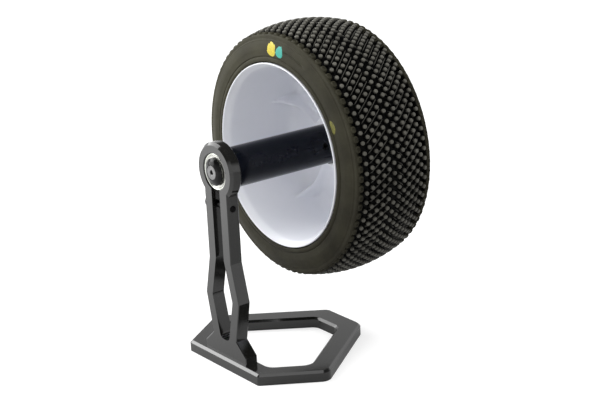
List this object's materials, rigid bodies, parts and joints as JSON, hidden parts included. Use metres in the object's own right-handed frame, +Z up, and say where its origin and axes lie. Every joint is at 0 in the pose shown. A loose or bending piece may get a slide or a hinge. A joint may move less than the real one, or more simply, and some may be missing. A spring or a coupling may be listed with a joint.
{
  "type": "wheel balancer",
  "caption": "Bench wheel balancer: a slotted upright on an open hexagonal base holds a ball-bearing spindle that carries a small car wheel with a studded tyre.",
  "frame": {"origin": "on the underside of the base plate, below the middle of the upright's thickness and on the upright's centre line", "axes": "+Z up, +Y along the spindle from the upright towards the wheel, +X to the right of someone who looks along +Y"},
  "size_m": [0.113, 0.0813, 0.1457],
  "materials": {
    "black_anodised": "satin",
    "gloss_anodised": "gloss",
    "black_screw_steel": "satin",
    "bearing_steel": "polished",
    "shield_steel": "satin",
    "white_plastic": "satin",
    "tyre_rubber": "matte",
    "foam": "matte"
  },
  "bodies": {
    "stand": {"base_plate": "black_anodised", "upright": "black_anodised", "foot_screws": "black_screw_steel", "clamp_screw": "black_screw_steel", "bearing_outer_ring": "bearing_steel", "bearing_shields": "shield_steel"},
    "cage": {"bearing_cage": "shield_steel", "bearing_balls": "bearing_steel"},
    "rotor": {"bearing_inner_ring": "bearing_steel", "spindle_tube": "black_anodised", "hex_adaptor": "black_anodised", "grub_screws": "black_screw_steel", "end_washer": "gloss_anodised", "end_screw": "black_screw_steel"},
    "wheel_and_tyre": {"wheel": "white_plastic", "tyre": "tyre_rubber", "tread_pins": "tyre_rubber", "foam_insert": "foam"},
    "nut": {"wheel_nut": "black_anodised"}
  },
  "joints": [
    {"name": "rotor_spin", "type": "hinge", "parent": "stand", "child": "rotor", "pos_m": [0, 0, 0.08925], "axis": [0, 1, 0], "continuous": true},
    {"name": "cage_spin", "type": "hinge", "parent": "stand", "child": "cage", "pos_m": [0, 0, 0.08925], "axis": [0, 1, 0], "continuous": true},
    {"name": "wheel_off", "type": "slide", "parent": "rotor", "child": "wheel_and_tyre", "axis": [0, 1, 0], "range_m": [0, 0.03]},
    {"name": "nut_off", "type": "slide", "parent": "wheel_and_tyre", "child": "nut", "axis": [0, 1, 0], "range_m": [0, 0.014]}
  ],
  "couplings": [
    {"joint": "cage_spin", "follows": "rotor_spin", "ratio": 0.41667}
  ]
}
